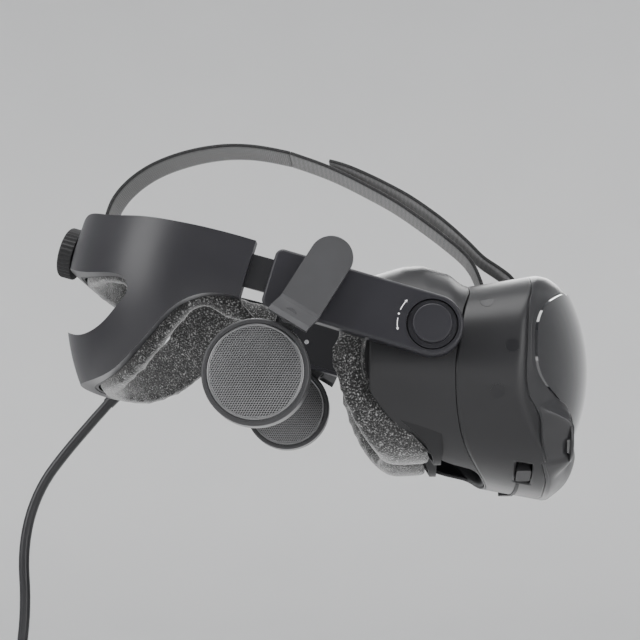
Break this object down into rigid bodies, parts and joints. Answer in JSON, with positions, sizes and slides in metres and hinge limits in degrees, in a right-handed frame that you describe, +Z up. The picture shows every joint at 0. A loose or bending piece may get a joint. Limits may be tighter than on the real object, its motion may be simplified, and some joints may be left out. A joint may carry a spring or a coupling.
{
  "type": "virtual reality headset",
  "caption": "Head-worn display with rigid side arms, sliding rear cradle with crown wheel, top strap, off-ear speakers, dial for eye relief and a trailing cord.",
  "frame": {"origin": "centre of the space for the wearer's head, on the middle plane, between the ear speakers", "axes": "+X forward to the display housing, +Y to the wearer's left, +Z up"},
  "size_m": [0.3498, 0.2256, 0.4376],
  "materials": {
    "arm_satin": "satin",
    "liner_satin": "satin",
    "casing_satin": "satin",
    "housing_satin": "satin",
    "bezel_satin": "satin",
    "cover_gloss": "gloss",
    "window_gloss": "gloss",
    "heather_cloth": "knitted",
    "webbing": "woven",
    "knob_rubber": "ribbed",
    "cord_jacket": "smooth",
    "hanger_metal": "anodised dark",
    "speaker_satin": "satin",
    "grille_metal": "dark mesh",
    "bright_steel": "polished",
    "strip_satin": "satin",
    "lens_glass": "clear",
    "board_green": "matt",
    "inner_black": "matt"
  },
  "bodies": {
    "headband": {"side_arm_right": "arm_satin", "side_arm_left": "arm_satin", "arm_liner_right": "liner_satin", "arm_liner_left": "liner_satin", "rack_strip_right": "strip_satin", "rack_strip_left": "strip_satin", "arm_screws": "bright_steel", "hinge_cap_left": "arm_satin", "top_strap": "webbing"},
    "cradle": {"rear_casing": "casing_satin", "rear_frame": "liner_satin", "rear_pad": "heather_cloth", "strap_anchor": "inner_black", "crown_bearing": "inner_black", "cable_gland": "cord_jacket", "cord_tube": "cord_jacket", "cord_coil": "cord_jacket", "cord_plug": "inner_black", "cord_tie": "webbing"},
    "crown": {"crown_knob": "knob_rubber", "crown_pinion": "inner_black"},
    "carriage": {"inner_housing": "housing_satin", "hinge_hub_right": "inner_black", "hinge_hub_left": "inner_black", "gasket_frame": "inner_black", "face_cushion": "heather_cloth", "strap_bar": "bright_steel"},
    "relief_dial": {"eye_relief_dial": "arm_satin"},
    "visor": {"front_housing": "housing_satin", "front_bezel": "bezel_satin", "front_cover": "cover_gloss", "sensor_windows": "window_gloss", "midframe": "inner_black", "main_board": "board_green", "lens_rails": "bright_steel", "housing_screws": "bright_steel", "camera_right": "window_gloss", "camera_left": "window_gloss"},
    "lens_unit_right": {"lens_barrel_right": "inner_black", "lens_right": "lens_glass", "display_right": "window_gloss"},
    "lens_unit_left": {"lens_barrel_left": "inner_black", "lens_left": "lens_glass", "display_left": "window_gloss"},
    "ipd_tab": {"ipd_slider": "housing_satin"},
    "button": {"system_button": "housing_satin"},
    "speaker_swivel_right": {"speaker_pivot_right": "hanger_metal"},
    "speaker_arm_right": {"speaker_hanger_right": "hanger_metal"},
    "speaker_joint_right": {"speaker_ball_right": "bright_steel"},
    "speaker_right": {"speaker_housing_right": "speaker_satin", "speaker_driver_right": "inner_black", "speaker_grille_outer_right": "grille_metal", "speaker_grille_inner_right": "grille_metal"},
    "speaker_swivel_left": {"speaker_pivot_left": "hanger_metal"},
    "speaker_arm_left": {"speaker_hanger_left": "hanger_metal"},
    "speaker_joint_left": {"speaker_ball_left": "bright_steel"},
    "speaker_left": {"speaker_housing_left": "speaker_satin", "speaker_driver_left": "inner_black", "speaker_grille_outer_left": "grille_metal", "speaker_grille_inner_left": "grille_metal"}
  },
  "joints": [
    {"name": "cradle_slide", "type": "slide", "parent": "headband", "child": "cradle", "axis": [-0.9598, 0, 0.2807], "range_m": [-0.005, 0.03], "deforming": ["top_strap"]},
    {"name": "crown_turn", "type": "hinge", "parent": "cradle", "child": "crown", "pos_m": [-0.09637, 0, 0.03594], "axis": [-0.9598, 0, 0.2807], "range_deg": [-50, 290]},
    {"name": "visor_tilt", "type": "hinge", "parent": "headband", "child": "carriage", "pos_m": [0.11799, 0, -0.02821], "axis": [0, 1, 0], "range_deg": [-14, 12]},
    {"name": "eye_relief", "type": "slide", "parent": "carriage", "child": "visor", "axis": [1, 0, 0], "range_m": [0, 0.008]},
    {"name": "dial_turn", "type": "hinge", "parent": "carriage", "child": "relief_dial", "pos_m": [0.11799, -0.092, -0.02821], "axis": [0, -1, 0], "range_deg": [0, 121]},
    {"name": "lens_spacing_left", "type": "slide", "parent": "visor", "child": "lens_unit_left", "axis": [0, 1, 0], "range_m": [-0.0025, 0.0035]},
    {"name": "lens_spacing_right", "type": "slide", "parent": "visor", "child": "lens_unit_right", "axis": [0, 1, 0], "range_m": [-0.0035, 0.0025]},
    {"name": "ipd_slide", "type": "slide", "parent": "visor", "child": "ipd_tab", "axis": [0, 1, 0], "range_m": [-0.0035, 0.0025]},
    {"name": "button_press", "type": "slide", "parent": "visor", "child": "button", "axis": [0, 0, 1], "range_m": [0, 0.0008], "stiffness_N_per_m": 2500, "springref_m": -0.0004},
    {"name": "speaker_swing_right", "type": "hinge", "parent": "headband", "child": "speaker_swivel_right", "pos_m": [0.054, -0.094, -0.007], "axis": [0, 1, 0], "range_deg": [-30, 30]},
    {"name": "speaker_height_right", "type": "slide", "parent": "speaker_swivel_right", "child": "speaker_arm_right", "axis": [0.5299, 0, 0.848], "range_m": [-0.012, 0.006]},
    {"name": "speaker_tilt_right", "type": "hinge", "parent": "speaker_arm_right", "child": "speaker_joint_right", "pos_m": [0.044, -0.1032, -0.0262], "axis": [0.848, 0, -0.5299], "range_deg": [-10, 10]},
    {"name": "speaker_turn_right", "type": "hinge", "parent": "speaker_joint_right", "child": "speaker_right", "pos_m": [0.044, -0.1032, -0.0262], "axis": [0.5299, 0, 0.848], "range_deg": [-10, 10]},
    {"name": "speaker_swing_left", "type": "hinge", "parent": "headband", "child": "speaker_swivel_left", "pos_m": [0.054, 0.094, -0.007], "axis": [0, 1, 0], "range_deg": [-30, 30]},
    {"name": "speaker_height_left", "type": "slide", "parent": "speaker_swivel_left", "child": "speaker_arm_left", "axis": [0.5299, 0, 0.848], "range_m": [-0.018, 0]},
    {"name": "speaker_tilt_left", "type": "hinge", "parent": "speaker_arm_left", "child": "speaker_joint_left", "pos_m": [0.04718, 0.1032, -0.02111], "axis": [0.848, 0, -0.5299], "range_deg": [-10, 10]},
    {"name": "speaker_turn_left", "type": "hinge", "parent": "speaker_joint_left", "child": "speaker_left", "pos_m": [0.04718, 0.1032, -0.02111], "axis": [0.5299, 0, 0.848], "range_deg": [-10, 10]}
  ],
  "couplings": [
    {"joint": "crown_turn", "follows": "cradle_slide", "rad_per_m": 166.67},
    {"joint": "dial_turn", "follows": "eye_relief", "rad_per_m": 261.8},
    {"joint": "lens_spacing_right", "follows": "lens_spacing_left", "ratio": -1},
    {"joint": "ipd_slide", "follows": "lens_spacing_left", "ratio": -1}
  ]
}
